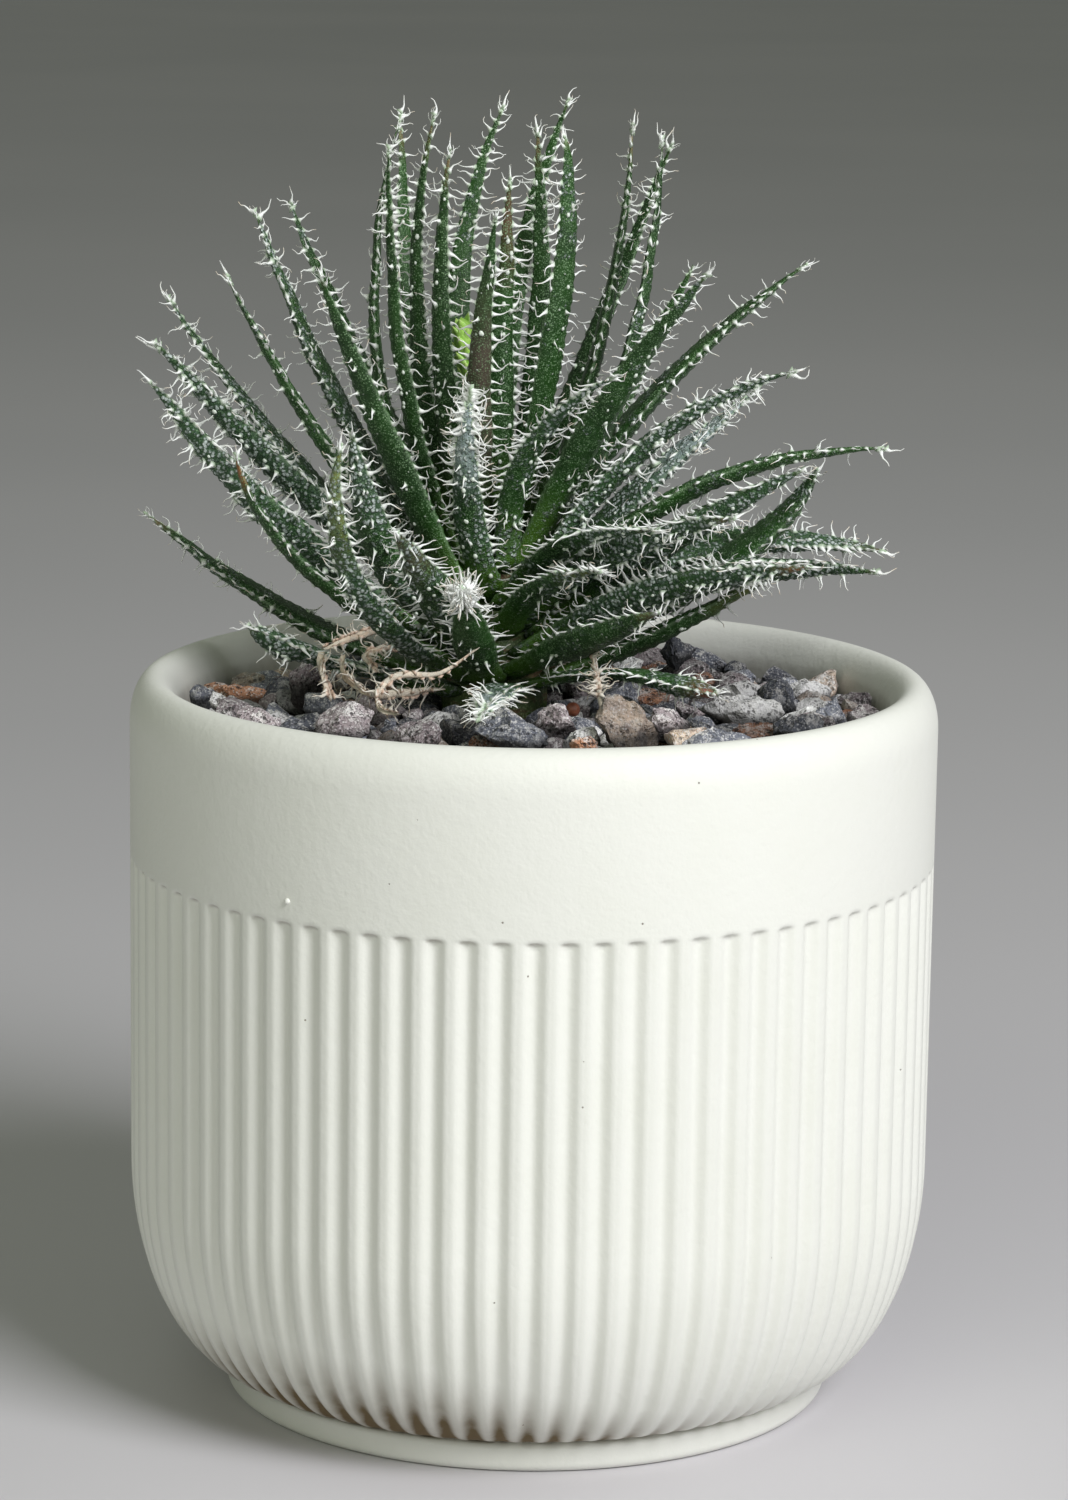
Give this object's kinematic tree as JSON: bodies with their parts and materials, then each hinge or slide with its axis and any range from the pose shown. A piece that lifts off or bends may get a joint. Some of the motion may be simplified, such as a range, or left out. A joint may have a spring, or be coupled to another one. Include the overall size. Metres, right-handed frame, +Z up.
{
  "type": "potted aloe",
  "caption": "Small spiny rosette of narrow toothed leaves growing in a round fluted ceramic pot with a gravel top dressing.",
  "frame": {"origin": "centre of the pot's foot ring, on the surface the pot stands on", "axes": "+Z up along the pot's axis; the side the picture shows faces -Y; the rosette stands towards -X and +Y of the axis"},
  "size_m": [0.0802, 0.0802, 0.128],
  "materials": {
    "pot_glaze": "matte off-white glaze with a faint grey-green cast, fine orange peel and a few pinholes",
    "potting_mix": "dark crumbly potting mix",
    "gravel": "rough angular lava and pumice in blue-grey, purple-grey, red-brown and tan",
    "feed_pellet": "dull red-brown coated pellet",
    "stem": "pale green leaf sheaths with brown papery edges",
    "bud": "fresh lime green, slightly translucent",
    "leaf": "dark green, finely granular, with grey-white scurf and creamy white teeth",
    "dry_leaf": "dry, papery, tan to pinkish brown"
  },
  "bodies": {
    "root": {"pot": "pot_glaze", "potting_mix": "potting_mix", "gravel_bed": "gravel", "feed_pellet": "feed_pellet", "stem": "stem", "flower_bud": "bud", "leaf_01": "leaf", "leaf_02": "leaf", "leaf_03": "leaf", "leaf_04": "leaf", "leaf_05": "leaf", "leaf_06": "leaf", "leaf_07": "leaf", "leaf_08": "leaf", "leaf_09": "leaf", "leaf_10": "leaf", "leaf_11": "leaf", "leaf_12": "leaf", "leaf_13": "leaf", "leaf_14": "leaf", "leaf_15": "leaf", "leaf_16": "leaf", "leaf_17": "leaf", "leaf_18": "leaf", "leaf_19": "leaf", "leaf_20": "leaf", "leaf_21": "leaf", "leaf_22": "leaf", "leaf_23": "leaf", "leaf_24": "leaf", "leaf_25": "leaf", "leaf_26": "leaf", "leaf_27": "leaf", "leaf_28": "leaf", "leaf_29": "leaf", "leaf_30": "leaf", "leaf_31": "leaf", "leaf_32": "leaf", "leaf_33": "leaf", "leaf_34": "leaf", "leaf_35": "leaf", "leaf_36": "leaf", "leaf_37": "leaf", "leaf_38": "leaf", "leaf_39": "leaf", "leaf_40": "leaf", "leaf_41": "leaf", "leaf_42": "leaf", "leaf_43": "leaf", "leaf_44": "leaf", "leaf_45": "leaf", "leaf_46": "leaf", "leaf_47": "leaf", "leaf_48": "leaf", "leaf_49": "leaf", "leaf_50": "leaf", "leaf_51": "leaf", "leaf_52": "leaf", "dry_leaf_01": "dry_leaf", "dry_leaf_02": "dry_leaf"}
  },
  "joints": []
}
